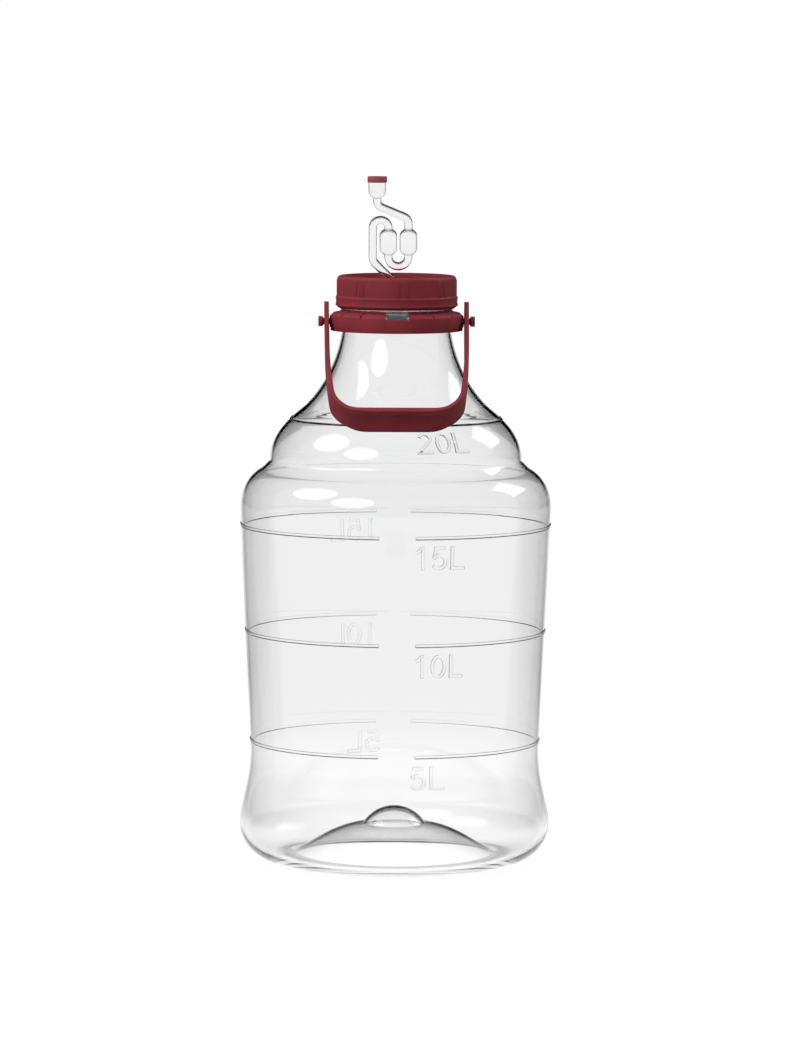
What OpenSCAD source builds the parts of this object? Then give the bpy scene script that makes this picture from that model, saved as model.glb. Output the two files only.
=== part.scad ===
// Clear plastic fermenter: a blown bottle with a snap-on handle collar, a screw lid and an S-shaped airlock.
// Millimetres. The bottle's axis is Z, its standing ring lies on z = 0 and the front faces -Y.

/* [Bottle body] */
// Inner radius of the flat standing ring
foot_in_r = 88.5; // [80:0.5:92]
// Width of the flat standing ring
foot_w = 5.5; // [3:0.5:9]
// Radius of the heel at its widest
heel_r = 135.4; // [128:0.1:145]
// Height of the heel's widest point
heel_h = 35; // [28:1:45]
// Radius of the waist below the lowest graduation ring
waist_r = 125.9; // [115:0.1:130]
// Rise from the heel's widest point to the waist
waist_rise = 62; // [50:1:80]
// Radius of the shoulder at its widest
shoulder_r = 135.6; // [130:0.1:145]
// Rise from the waist to the shoulder's widest point
body_rise = 216; // [180:1:240]
// Wall thickness of the body
wall = 1; // [0.8:0.1:2]
// Wall thickness at the standing ring
foot_wall = 4; // [2:0.1:5]

/* [Bottle shoulder and neck] */
// Radius at the crease between the two shoulder bulges
crease_r = 110.7; // [106:0.1:116]
// Rise from the shoulder's widest point to the crease
shoulder_rise = 39.2; // [32:0.1:46]
// Step of the upper bulge's foot, inwards from the crease
crease_step = 0.8; // [0.4:0.1:2]
// Rise from the crease to the upper bulge's foot
crease_rise = 1.8; // [1:0.1:4]
// Radius where the upper bulge turns into the neck's flare
flare_r = 86.1; // [80:0.1:92]
// Rise of the upper bulge
bulge_rise = 40.2; // [34:0.1:46]
// Rise of the neck's flare
flare_rise = 71.8; // [60:0.1:85]
// Outer radius of the neck
neck_r = 47.7; // [45:0.1:49]
// Wall thickness of the neck
neck_wall = 2.2; // [1.6:0.1:3]
// Rise of the straight neck, up to its lip
neck_rise = 35.6; // [34:0.1:44]

/* [Punt] */
// Height of the punt's dome at its middle
dome_h = 31; // [24:0.5:36]
// Radius of the round boss in the middle of the dome
boss_r = 26; // [18:0.5:34]
// Rise of the round boss above the dome
boss_rise = 15; // [8:0.5:20]

/* [Graduation rings] */
// Height of a ring's bead along the wall
bead_h = 3; // [2:0.1:5]
// Projection of a bead from the wall
bead_proud = 1.2; // [0.6:0.1:2]
// Half width of the gap in each ring, at the front and at the back
bead_gap = 15.7; // [8:0.1:30]

/* [Neck fittings] */
// Width of the ledge that carries the collar
ledge_w = 5.3; // [3.5:0.1:6]
// Thickness of the ledge
ledge_t = 4; // [2.5:0.1:6]
// Projection of the bead that the collar snaps under
snap_proud = 1.2; // [0.6:0.1:1.4]
// Height of the snap bead
snap_h = 1.2; // [0.8:0.1:1.6]
// Width of each lug that stops the collar turning
lug_w = 17.5; // [10:0.5:22]
// Height of the lugs above the ledge
lug_h = 3.4; // [2:0.1:3.6]

/* [Collar] */
// Reach of the collar's skirt out from the neck
collar_reach = 9.8; // [9.5:0.1:13]
// Height of the collar
collar_h = 18; // [16:0.1:24]
// Wall thickness of the collar
collar_wall = 2; // [1.5:0.1:2.5]
// Height of the collar's crown above its straight wall
crown_h = 5.1; // [4.5:0.1:8]
// Width and height of the chamfer around the crown
crown_chamfer = 2.5; // [1.5:0.1:2.8]
// Rise of the lip at the tips of the collar's spring fingers
finger_lip = 1.5; // [0.5:0.1:2]
// Width of each slit between the collar's spring fingers
slit_w = 1.6; // [1:0.1:3]
// Clearance around each lug in its window
window_clear = 1.2; // [0.4:0.1:2]
// Height of the handle's pivot above the collar's lower edge
pivot_rise = 7.6; // [7:0.1:9.5]
// Radius of a pivot pin
pin_r = 2.8; // [2:0.1:4]
// Radius of a pivot pin's head
pin_head_r = 4.45; // [4:0.05:6]
// Thickness of a pivot pin's head
pin_head_t = 4.7; // [2:0.1:6]
// Thickness of the round pad between the collar and the handle
pad_t = 0.8; // [0.6:0.1:2]

/* [Handle] */
// Distance from the pivot to the middle of the grip's strap
handle_l = 131.4; // [126:0.1:150]
// Width of the strap
strap_w = 21.6; // [16:0.1:26]
// Thickness of the strap
strap_t = 4; // [3:0.1:6]
// Half length of the grip's straight part
grip_half = 25; // [18:1:30]
// Radius of the strap's middle at the grip's corners
grip_corner_r = 31.6; // [24:0.1:36]
// Extra thickness of the grip's middle, towards the neck
grip_extra = 1.2; // [0.5:0.1:3.5]
// How far the grip's middle stands out of the strap's edges
grip_flare = 1.4; // [0.4:0.1:3]
// Radius of the arms' gentle bow, at the strap's middle
bow_r = 600; // [300:10:1200]
// Turn of the bow, in degrees
bow_turn = 5.9; // [1:0.1:10]
// Depth of the scoop in the middle of the grip's outer face
scoop_depth = 2; // [0.4:0.1:2.4]
// Width of the scoop in its middle
scoop_w = 17; // [10:0.5:18]
// Distance from the pivot to the middle of the arm's round end
arm_over = 10; // [6:0.5:14]

/* [Lid] */
// Room for the screw thread between the neck and the lid's skirt
thread_room = 1.9; // [1.6:0.1:2.4]
// Height of the lid
lid_h = 28.2; // [26:0.1:29]
// Thickness of the lid's panels
lid_t = 2; // [1.6:0.1:3]
// Thickness of the lid's skirt
skirt_t = 2.3; // [1.8:0.1:2.6]
// Width of the raised rim on top of the lid
rim_w = 3.9; // [3:0.1:6]
// Height of the raised rim above the lid's top panel
rim_h = 8; // [5:0.5:10]
// Radius of the rim's rounded outer edge
rim_round_r = 3.4; // [1.5:0.1:3.6]
// Projection of the lid's lower band
band_proud = 1.5; // [0.6:0.1:2]
// Height of the lower band
band_h = 7; // [5:0.1:9]
// Depth of the groove along the lower band
band_groove = 0.5; // [0.2:0.1:1]
// Height of the chamfer under the lower band
band_chamfer = 2.5; // [1:0.1:4]
// Gap between the neck's bore and the lid's sunk middle
well_gap = 5.5; // [2:0.1:10]
// Depth of the sunk middle below the lid's top panel
well_depth = 9; // [6:0.5:11]
// Projection of the wide grip ribs
rib_proud = 0.35; // [0.2:0.05:1]
// Width of a grip rib
rib_w = 9; // [4:0.5:14]
// Number of grip ribs
rib_count = 8; // [6:1:12]
// Width of the gasket's ring
gasket_w = 4.9; // [3:0.1:5.5]
// Thickness of the gasket
gasket_t = 2; // [1:0.1:3]

/* [Grommet] */
// Radius of the hole in the lid for the grommet
hole_r = 8; // [6.5:0.1:10]
// Width of the grommet's flanges beyond the hole
flange_w = 2.6; // [1.5:0.1:4]
// Thickness of a grommet flange
flange_t = 2.4; // [1.5:0.1:2.6]

/* [Airlock] */
// Outer radius of the airlock's tube
tube_r = 3.65; // [3:0.05:4.5]
// Wall thickness of the airlock
tube_wall = 1; // [0.6:0.1:1.4]
// Length of the stem from its lower end up to its first bend
stem_l = 30; // [24:1:36]
// Height of the stem's straight top above the lid's sunk panel
stem_rise = 5.2; // [4:0.1:8]
// Lean of the slanting tube from the vertical, in degrees
slant = 45; // [35:1:50]
// Distance from the stem's axis to the outer upright tube
upright_x = 21.1; // [19:0.1:24]
// Bend radius at both ends of the slanting tube
slant_bend_r = 8; // [6:0.1:9]
// Height of the upright tube between its bends
upright_l = 25.4; // [23:0.1:32]
// Radius of the upper bend, at the tube's middle
upper_bend_r = 6.8; // [5.5:0.1:7.2]
// Radius of the lower bend between the two chambers
lower_bend_r = 8.7; // [8.2:0.1:10]
// Straight tube at each end of a chamber
chamber_lead = 1.1; // [0.5:0.1:2]
// Outer radius of a chamber
chamber_r = 7.8; // [6.5:0.1:8]
// Height of a chamber
chamber_h = 22.6; // [16:0.1:26]
// Height of a chamber's rounded end
chamber_end_h = 4.2; // [3:0.1:6]
// Bend radius of the S bend
s_bend_r = 6.4; // [5:0.1:9]
// Turn of each half of the S bend, in degrees
s_turn = 68; // [50:1:75]
// Length of the straight tube below the S bend
s_lead = 3.9; // [2:0.1:8]
// Length of the S bend's straight middle
s_middle = 20.8; // [14:0.1:24]
// Length of the straight tube above the S bend
s_tail = 3.2; // [1:0.1:8]
// Outer radius of the cup
cup_r = 7.8; // [6.5:0.1:8]
// Height of the cup's rounded foot
cup_foot_h = 6.2; // [4:0.1:8]
// Height of the cup's straight part
cup_h = 6.9; // [5:0.1:12]
// Height of the cup's rim inside the cap
cup_rim_h = 3.8; // [2:0.1:4]
// Width of the step that the cap sits on
cup_step = 0.3; // [0.2:0.05:0.4]
// Wall thickness of the cap
cap_wall = 0.95; // [0.8:0.05:1.6]
// Height of the cap
cap_h = 5.4; // [5.2:0.1:8]

/* [Fits] */
// Clearance of a pin, stem or cap on what it turns or slides on, on the radius
running_fit = 0.06; // [0.02:0.01:0.1]
// Clearance between parts that lie loosely together
loose_fit = 0.3; // [0.3:0.05:0.5]

/* [Hidden] */
$fn = 96;
overrun = 5;
curve_steps = 10;
// Where two swept pieces meet, one runs this far into the other, this much inside its skin
seam = 0.1;
seam_step = 0.02;
maroon = [0.45, 0.16, 0.19];
clear_plastic = [0.86, 0.9, 0.93, 0.4];
clear_tube = [0.9, 0.93, 0.95, 0.6];

// Heights along the bottle
waist_h = heel_h + waist_rise;
shoulder_h = waist_h + body_rise;
crease_h = shoulder_h + shoulder_rise;
bulge_h = crease_h + crease_rise;
flare_h = bulge_h + bulge_rise;
neck_h = flare_h + flare_rise;
lip_h = neck_h + neck_rise;

// Graduation rings, as shares of the height of the shoulder's widest point
ring_height_shares = [0.3425, 0.65, 0.946, 1.2425];

// Heights of the lid, the collar and the handle's pivot
panel_h = lip_h + gasket_t;
panel_top_h = panel_h + lid_t;
lid_top_h = panel_top_h + rim_h;
lid_bottom_h = lid_top_h - lid_h;
well_floor_h = panel_top_h - well_depth;
collar_top_h = lid_bottom_h - snap_h - loose_fit;
collar_bottom_h = collar_top_h - collar_h;
crown_edge_h = collar_top_h - crown_h + crown_chamfer;
ledge_top_h = crown_edge_h - collar_wall;
pivot_h = collar_bottom_h + pivot_rise;

// Radii that follow the neck
ledge_r = neck_r + ledge_w;
collar_r = neck_r + collar_reach;
skirt_r = neck_r + thread_room;
lid_r = skirt_r + skirt_t;
band_r = lid_r + band_proud;
rim_in_r = lid_r - rim_w;
well_r = neck_r - neck_wall - well_gap - lid_t;
well_bottom_r = well_r - lid_t;

// Places along the handle's pivot axis
pad_x = collar_r + pad_t;
arm_x = pad_x + 2 * loose_fit;
pin_head_x = arm_x + strap_t + 2 * loose_fit;

// Angles where the collar is slit, from the front and from the back
slit_angles = [34, 58];

// From its pivot the strap's middle runs straight down, then along the bow and round the grip's corner,
// each tangent to the next
pivot_mid_x = arm_x + strap_t / 2;
corner_z = handle_l - grip_corner_r;
corner_dist = norm([pivot_mid_x - grip_half, corner_z]);
bow_extra_r = bow_r - grip_corner_r;
line_dist = bow_r - bow_extra_r * cos(bow_turn);
arm_lean = atan2(pivot_mid_x - grip_half, corner_z) - asin(line_dist / corner_dist);
arm_l = sqrt(corner_dist * corner_dist - line_dist * line_dist) - bow_extra_r * sin(bow_turn) + arm_over;
bow_lean = arm_lean + bow_turn;
bow_x = grip_half - bow_extra_r * cos(bow_lean);
bow_z = corner_z - bow_extra_r * sin(bow_lean);

// Points of a smooth curve from a to b, whose two handles are shares of the span between them
function curve(a, b, start_shares, end_shares, steps = curve_steps) =
    let (c = a + [for (k = [0, 1]) start_shares[k] * (b - a)[k]],
         d = a + [for (k = [0, 1]) end_shares[k] * (b - a)[k]])
    [for (i = [0 : steps]) let (t = i / steps, s = 1 - t)
        s * s * s * a + 3 * s * s * t * c + 3 * s * t * t * d + t * t * t * b];

// Points of a round arc about a centre
function arc(centre, r, from, to, steps = curve_steps) =
    [for (i = [0 : steps]) let (a = from + (to - from) * i / steps) centre + r * [cos(a), sin(a)]];

// The same points without repeats
function distinct(points) =
    [for (i = [0 : len(points) - 1]) if (i == 0 || norm(points[i] - points[i - 1]) > wall / 100) points[i]];

// Unit vector to the left of the way from a to b
function left_of(a, b) = let (d = (b - a) / norm(b - a)) [-d.y, d.x];

// The line moved to its left, by a thickness for each point
function inset(points, thickness) =
    let (last = len(points) - 1)
    [for (i = [0 : last])
        let (before = left_of(points[max(i - 1, 0)], points[max(i, 1)]),
             after = left_of(points[min(i, last - 1)], points[min(i + 1, last)]),
             mean = (before + after) / norm(before + after))
        points[i] + mean * thickness[i] / (mean * before)];

// Outside of the bottle from the middle of the punt to the lip
boss_sphere_r = (boss_r * boss_r + boss_rise * boss_rise) / (2 * boss_rise);
boss_angle = asin(boss_r / boss_sphere_r);
punt_outline = distinct(concat(
    arc([0, dome_h + boss_rise - boss_sphere_r], boss_sphere_r, 90, 90 - boss_angle, 6),
    curve([boss_r, dome_h], [foot_in_r, 0], [0.45, 0.07], [0.74, 0.6], 8)));
side_outline = distinct(concat(
    curve([foot_in_r + foot_w, 0], [heel_r, heel_h], [0.64, 0], [1, 0.42]),
    curve([heel_r, heel_h], [waist_r, waist_h], [0, 0.2], [1, 0.6]),
    curve([waist_r, waist_h], [shoulder_r, shoulder_h], [0, 0.05], [1, 0.9]),
    curve([shoulder_r, shoulder_h], [crease_r, crease_h], [0, 0.5], [0.55, 0.74]),
    curve([crease_r - crease_step, bulge_h], [flare_r, flare_h], [0, 0.42], [0.5, 0.756]),
    curve([flare_r, flare_h], [neck_r, neck_h], [0.523, 0.213], [0.901, 0.596]),
    [[neck_r, lip_h]]));
outer_outline = concat(punt_outline, side_outline);

// Wall thickness of the bottle at a height: more towards the standing ring and towards the neck
function wall_at(h) = wall
    + (foot_wall - wall) * pow(max(0, 1 - h / heel_h), 2)
    + (neck_wall - wall) * pow(min(1, max(0, 1 - (neck_h - h) / flare_rise)), 2);
inner_outline = inset(outer_outline, [for (p = outer_outline) wall_at(p.y)]);

// Radius and lean of the bottle's side at a height
side_table = [for (p = side_outline) [p.y, p.x]];
function side_r(h) = lookup(h, side_table);
function side_lean(h) = atan2(side_r(h - bead_h) - side_r(h + bead_h), 2 * bead_h);

// The handle rests with the lower edge of its grip against the shoulder
grip_near = handle_l - strap_t / 2;
grip_w = strap_w + 2 * grip_flare;
grip_far = norm([handle_l + strap_t / 2, grip_w / 2]);
shoulder_angles = [for (p = side_outline)
    let (reach = norm([p.x, pivot_h - p.y]))
    if (p.y > shoulder_h && reach > grip_near && reach < grip_far + bead_h)
        atan2(p.x, pivot_h - p.y) + asin((grip_w / 2 + bead_proud + loose_fit) / reach)];
rest_angle = max(concat([0], shoulder_angles));

// The same points from the last to the first
function reversed(points) = [for (i = [len(points) - 1 : -1 : 0]) points[i]];

// A solid turned from a closed outline
module turned(points) {
    rotate_extrude() polygon(points);
}

// A box through the axis that reaches the front and the back
module front_and_back(w, r, bottom, top) {
    translate([-w / 2, -r, bottom]) cube([w, 2 * r, top - bottom]);
}

module graduation_bead(h) {
    difference() {
        rotate_extrude()
            translate([side_r(h), h])
                rotate(side_lean(h))
                    translate([-wall / 2, -bead_h / 2])
                        square([wall / 2 + bead_proud, bead_h]);
        front_and_back(2 * bead_gap, heel_r + shoulder_r, h - 3 * bead_h, h + 3 * bead_h);
    }
}

module ring_on_neck(r, bottom, top) {
    difference() {
        translate([0, 0, bottom]) cylinder(h = top - bottom, r = r);
        translate([0, 0, bottom - overrun])
            cylinder(h = top - bottom + 2 * overrun, r = neck_r - neck_wall / 2);
    }
}

module bottle() {
    snap_bottom_h = collar_top_h + loose_fit / 2;
    color(clear_plastic) {
        turned(concat(outer_outline, [for (p = reversed(inner_outline)) [max(0, p.x), p.y]]));
        for (share = ring_height_shares) graduation_bead(share * shoulder_h);
        ring_on_neck(ledge_r, ledge_top_h - ledge_t, ledge_top_h);
        ring_on_neck(neck_r + snap_proud, snap_bottom_h, snap_bottom_h + snap_h);
        intersection() {
            ring_on_neck(ledge_r + collar_wall, ledge_top_h - ledge_t, ledge_top_h + lug_h);
            front_and_back(lug_w, collar_r, ledge_top_h - ledge_t, ledge_top_h + lug_h);
        }
    }
}

// Section of the collar: a skirt with a chamfered crown that reaches in to the neck and seats on the ledge
finger_r = neck_r + loose_fit;
skirt_in_r = collar_r - collar_wall;
collar_section = [
    [finger_r, collar_top_h], [finger_r + finger_lip, collar_top_h - finger_lip],
    [collar_r - crown_chamfer, crown_edge_h], [collar_r, crown_edge_h - crown_chamfer],
    [collar_r, collar_bottom_h], [skirt_in_r, collar_bottom_h],
    [skirt_in_r, ledge_top_h - crown_chamfer / 2], [skirt_in_r - crown_chamfer / 2, ledge_top_h],
    [finger_r, ledge_top_h]];

module pivot_pin() {
    translate([collar_r - collar_wall / 2, 0, pivot_h]) rotate([0, 90, 0]) {
        cylinder(h = pad_x - collar_r + collar_wall / 2, r = pin_head_r + pad_t);
        cylinder(h = pin_head_x - collar_r + collar_wall, r = pin_r);
    }
    translate([pin_head_x, 0, pivot_h]) rotate([0, 90, 0]) {
        cylinder(h = pin_head_t / 4, r1 = pin_r, r2 = pin_head_r);
        translate([0, 0, pin_head_t / 4]) cylinder(h = pin_head_t * 3 / 4, r = pin_head_r);
    }
}

module neck_collar() {
    color(maroon) {
        difference() {
            turned(collar_section);
            for (side = [0, 180], angle = slit_angles, hand = [-1, 1])
                rotate(side - 90 + hand * angle)
                    translate([0, -slit_w / 2, crown_edge_h - crown_chamfer])
                        cube([collar_r + overrun, slit_w, crown_h + overrun]);
            front_and_back(lug_w + 2 * window_clear, collar_r + overrun,
                           ledge_top_h - crown_chamfer / 2 - loose_fit, collar_top_h + overrun);
        }
        for (side = [0, 180]) rotate(side) pivot_pin();
    }
}

// Rectangle with round corners
module rounded_rect(size, r) {
    square([size.x, size.y - 2 * r], center = true);
    square([size.x - 2 * r, size.y], center = true);
    for (x = [-1, 1], y = [-1, 1])
        translate([x * (size.x / 2 - r), y * (size.y / 2 - r)]) circle(r);
}

// Section of the handle's strap: x is outwards, y is across the strap
module strap_section(step = 0) {
    rounded_rect([strap_t - 2 * step, strap_w - 2 * step], strap_t / 4 - step, $fn = 32);
}

// Radius of the arc that a chord of a half length stands off by a depth
function arc_radius(half, depth) = (half * half + depth * depth) / (2 * depth);

// The grip's thicker and wider middle, flat towards the neck and with round ends
module grip_middle() {
    inner_r = grip_corner_r - strap_t / 2;
    outer_r = grip_corner_r + strap_t / 2;
    end_over = sqrt(grip_extra * (2 * inner_r - grip_extra)) + seam;
    step_in = outer_r - sqrt(outer_r * outer_r - end_over * end_over) + seam_step;
    translate([0, 0, step_in - strap_t / 2 - handle_l])
        linear_extrude(strap_t + grip_extra - step_in)
            rounded_rect([2 * (grip_half + end_over), grip_w], strap_w / 2);
}

// The straight grip, with a lens-shaped scoop for the fingers in its outer face
module grip() {
    across_r = arc_radius(scoop_w / 2, scoop_depth);
    along_r = arc_radius(grip_half * 0.95, scoop_depth);
    difference() {
        union() {
            translate([0, 0, -handle_l]) rotate([0, 90, 0])
                linear_extrude(2 * (grip_half + seam), center = true) strap_section(seam_step);
            grip_middle();
        }
        translate([0, 0, scoop_depth - strap_t / 2 - handle_l - along_r]) rotate([90, 0, 0])
            rotate([0, 0, 90 - 20]) rotate_extrude(angle = 40)
                translate([along_r - across_r, 0]) circle(across_r, $fn = 180);
    }
}

// The right arm with its corner, hanging straight down from the pivot axis
module handle_arm() {
    seam_turn = atan(seam / bow_r);
    translate([grip_half, 0, -corner_z]) rotate([90, 0, 0]) rotate([0, 0, -90])
        rotate_extrude(angle = 90 - bow_lean) translate([grip_corner_r, 0]) strap_section();
    translate([bow_x, 0, -bow_z]) rotate([90, 0, 0]) rotate([0, 0, -bow_lean - seam_turn])
        rotate_extrude(angle = bow_turn + 2 * seam_turn) translate([bow_r, 0]) strap_section(seam_step);
    intersection() {
        translate([bow_x, 0, -bow_z]) rotate([0, arm_lean, 0])
            translate([bow_r, 0, 0]) linear_extrude(arm_l + strap_w) strap_section();
        union() {
            translate([0, 0, arm_over]) rotate([0, 90, 0]) cylinder(h = pin_head_x, r = strap_w / 2);
            translate([0, -strap_w, -handle_l]) cube([pin_head_x, 2 * strap_w, handle_l + arm_over]);
        }
    }
}

module bail_handle() {
    color(maroon)
        translate([0, 0, pivot_h]) rotate([-rest_angle, 0, 0])
            difference() {
                union() {
                    grip();
                    for (side = [0, 1]) mirror([side, 0, 0]) handle_arm();
                }
                translate([-pin_head_x, 0, 0]) rotate([0, 90, 0])
                    cylinder(h = 2 * pin_head_x, r = pin_r + running_fit);
            }
}

// Section of the lid: its top from the hole out to the lower band, then its underside back to the hole
band_bottom_h = lid_bottom_h + band_chamfer;
lid_section = concat(
    [[hole_r, well_floor_h], [well_bottom_r, well_floor_h], [well_r, panel_top_h], [rim_in_r, panel_top_h],
     [rim_in_r, lid_top_h]],
    arc([lid_r - rim_round_r, lid_top_h - rim_round_r], rim_round_r, 90, 0, 8),
    [[lid_r, band_bottom_h + band_h + band_proud], [band_r, band_bottom_h + band_h],
     [band_r - band_groove, band_bottom_h + band_h * 0.7],
     [band_r - band_groove, band_bottom_h + band_h * 0.3], [band_r, band_bottom_h],
     [skirt_r + skirt_t / 3, lid_bottom_h], [skirt_r, lid_bottom_h],
     [skirt_r, panel_h], [well_r + lid_t, panel_h], [well_bottom_r + lid_t, well_floor_h - lid_t],
     [hole_r, well_floor_h - lid_t]]);

module grip_rib() {
    rib_bottom_h = band_bottom_h + band_h;
    intersection() {
        translate([0, 0, rib_bottom_h])
            cylinder(h = lid_top_h - rim_round_r - rib_bottom_h, r = lid_r + rib_proud);
        translate([lid_r - skirt_t / 2, -rib_w / 2, rib_bottom_h])
            cube([skirt_t, rib_w, lid_top_h - rib_bottom_h]);
    }
}

module lid() {
    color(maroon) {
        turned(lid_section);
        for (i = [0 : rib_count - 1]) rotate(i * 360 / rib_count) grip_rib();
    }
}

module lid_gasket() {
    gasket_r = skirt_r - loose_fit;
    color([0.88, 0.88, 0.85])
        translate([0, 0, lip_h])
            difference() {
                cylinder(h = gasket_t, r = gasket_r);
                translate([0, 0, -overrun]) cylinder(h = gasket_t + 2 * overrun, r = gasket_r - gasket_w);
            }
}

module airlock_grommet() {
    flange_r = hole_r + flange_w;
    groove_r = hole_r - loose_fit;
    bore_r = tube_r + running_fit;
    under_h = well_floor_h - lid_t - loose_fit;
    color([0.13, 0.13, 0.14])
        turned([[bore_r, under_h - flange_t], [flange_r - flange_t / 3, under_h - flange_t],
                [flange_r, under_h], [groove_r, under_h], [groove_r, well_floor_h], [flange_r, well_floor_h],
                [flange_r - flange_t / 3, well_floor_h + flange_t], [bore_r, well_floor_h + flange_t]]);
}

// Tube pieces. Each starts at the origin and heads up, and hands on its far end to what follows it.
// A straight pipe runs a little into its neighbours, inside the thickness of their walls.
module tube_section(step = 0) {
    difference() {
        circle(tube_r - step);
        circle(tube_r - tube_wall + step);
    }
}

module pipe(l) {
    translate([0, 0, -seam]) linear_extrude(l + 2 * seam) tube_section(seam_step);
    translate([0, 0, l]) children();
}

// A bend towards +X, or towards -X when the turn is negative
module elbow(r, turn) {
    side = sign(turn);
    swept = abs(turn);
    translate([side * r, 0, 0]) rotate([90, 0, 0]) rotate(side > 0 ? 180 - swept : 0)
        rotate_extrude(angle = swept) translate([r, 0]) tube_section();
    translate([side * r * (1 - cos(swept)), 0, r * sin(swept)]) rotate([0, turn, 0]) children();
}

// Outline of a tube that swells to a radius over a height
function swell(r, h) = curve([tube_r, 0], [r, h], [0.6, 0], [1, 0.45], 8);

// A wider hollow part of the tube, from the outline of its outside and the outline of its rim
module shell(outside, rim = []) {
    bore_r = tube_r - tube_wall;
    inside = inset(outside, [for (p = outside) tube_wall]);
    top = outside[len(outside) - 1].y;
    turned(concat(outside, rim, [for (p = reversed(inside)) [max(bore_r, p.x), min(top, p.y)]],
                  [[bore_r, 0]]));
}

module chamber() {
    lower = swell(chamber_r, chamber_end_h);
    upper = [for (p = reversed(lower)) [p.x, chamber_h - p.y]];
    shell(concat(lower, upper), [[tube_r - tube_wall, chamber_h]]);
    translate([0, 0, chamber_h]) children();
}

// The cup at the airlock's mouth: the cap slides over its rim and sits on its step
cup_top = cup_foot_h + cup_h;
cup_rim_r = cup_r - cup_step;
module cup() {
    shell(concat(swell(cup_r, cup_foot_h), [[cup_r, cup_top]]),
        [[cup_rim_r, cup_top], [cup_rim_r, cup_top + cup_rim_h], [cup_r - tube_wall, cup_top + cup_rim_h]]);
}

// The airlock's way: up the stem, out, over, down a chamber, round, up a chamber and back by the S bend
stem_h = well_floor_h + stem_rise - stem_l;
slant_l = (upright_x - 2 * slant_bend_r * (1 - cos(slant))) / sin(slant);
module airlock() {
    color(clear_tube)
        translate([0, 0, stem_h])
            pipe(stem_l) elbow(slant_bend_r, -slant) pipe(slant_l) elbow(slant_bend_r, slant)
            pipe(upright_l) elbow(upper_bend_r, 180)
            pipe(chamber_lead) chamber() pipe(chamber_lead) elbow(lower_bend_r, -180)
            pipe(chamber_lead) chamber() pipe(chamber_lead + s_lead)
            elbow(s_bend_r, -s_turn) pipe(s_middle) elbow(s_bend_r, s_turn) pipe(s_tail) cup();
}

// Place of the cap, on the cup's step
s_bend_shift = 2 * s_bend_r * (1 - cos(s_turn)) + s_middle * sin(s_turn);
s_bend_h = 2 * s_bend_r * sin(s_turn) + s_middle * cos(s_turn);
upright_top_h = stem_h + stem_l + 2 * slant_bend_r * sin(slant) + slant_l * cos(slant) + upright_l;
cap_x = 2 * (upper_bend_r + lower_bend_r) - upright_x - s_bend_shift;
cap_bottom_h = upright_top_h + s_lead + s_bend_h + s_tail + cup_top;

module airlock_cap() {
    bore_r = cup_rim_r + running_fit;
    cap_r = bore_r + cap_wall;
    edge = cap_wall * 0.7;
    color([0.62, 0.3, 0.32])
        translate([cap_x, 0, cap_bottom_h])
            turned([[bore_r, 0], [cap_r, 0], [cap_r, cap_h - edge], [cap_r - edge, cap_h], [0, cap_h],
                    [0, cup_rim_h + loose_fit], [bore_r, cup_rim_h + loose_fit]]);
}

bottle();
neck_collar();
bail_handle();
lid();
lid_gasket();
airlock_grommet();
airlock();
airlock_cap();
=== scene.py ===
# Clear fermenter bottle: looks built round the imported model.
# Metres, Z up, the front faces -Y. The pieces' dictionaries are in millimetres, those of the threads,
# the stage, the lights and the camera in metres.
import math

import bmesh
import bpy
from mathutils import Matrix, Vector


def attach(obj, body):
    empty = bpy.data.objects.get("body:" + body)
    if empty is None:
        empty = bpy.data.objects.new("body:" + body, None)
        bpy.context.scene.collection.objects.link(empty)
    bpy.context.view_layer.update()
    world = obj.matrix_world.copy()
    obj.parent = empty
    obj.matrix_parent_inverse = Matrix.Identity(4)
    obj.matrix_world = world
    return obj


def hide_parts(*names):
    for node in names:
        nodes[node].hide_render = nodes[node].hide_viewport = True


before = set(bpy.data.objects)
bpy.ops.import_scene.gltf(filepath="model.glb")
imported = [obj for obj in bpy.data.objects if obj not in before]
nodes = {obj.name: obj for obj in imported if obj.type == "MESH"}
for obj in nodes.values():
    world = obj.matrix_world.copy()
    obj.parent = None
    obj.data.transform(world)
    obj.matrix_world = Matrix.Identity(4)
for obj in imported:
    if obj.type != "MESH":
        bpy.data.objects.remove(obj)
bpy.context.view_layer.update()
scene = bpy.context.scene
scene.view_settings.view_transform = "Standard"
scene.cycles.max_bounces = 24
scene.cycles.transmission_bounces = 24
scene.cycles.glossy_bounces = 12
mm = 0.001
tiny = 1e-6
print("frame loaded")


# Shader maths: a wire is one socket, and sums of wires add Math nodes
class Wire:
    def __init__(self, tree, socket):
        self.tree = tree
        self.socket = socket

    def math(self, operation, *others):
        return addNode(self.tree, "ShaderNodeMath", {"operation": operation}, [self, *others]).out()

    def __add__(self, other):
        return self.math("ADD", other)

    def __rsub__(self, other):
        return addNode(self.tree, "ShaderNodeMath", {"operation": "SUBTRACT"}, [other, self]).out()

    def __mul__(self, other):
        return self.math("MULTIPLY", other)

    def __truediv__(self, other):
        return self.math("DIVIDE", other)

    __radd__ = __add__
    __rmul__ = __mul__


# A node just added, whose outputs come back as wires
class Added:
    def __init__(self, tree, node):
        self.tree = tree
        self.node = node

    def out(self, name=0):
        return Wire(self.tree, self.node.outputs[name])


def addNode(tree, kind, settings=None, inputs=None):
    node = tree.nodes.new(kind)
    for key, value in (settings or {}).items():
        setattr(node, key, value)
    pairs = inputs.items() if isinstance(inputs, dict) else enumerate(inputs or [])
    for key, value in pairs:
        if isinstance(value, Wire):
            tree.links.new(value.socket, node.inputs[key])
        elif value is not None:
            node.inputs[key].default_value = value
    return Added(tree, node)


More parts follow.
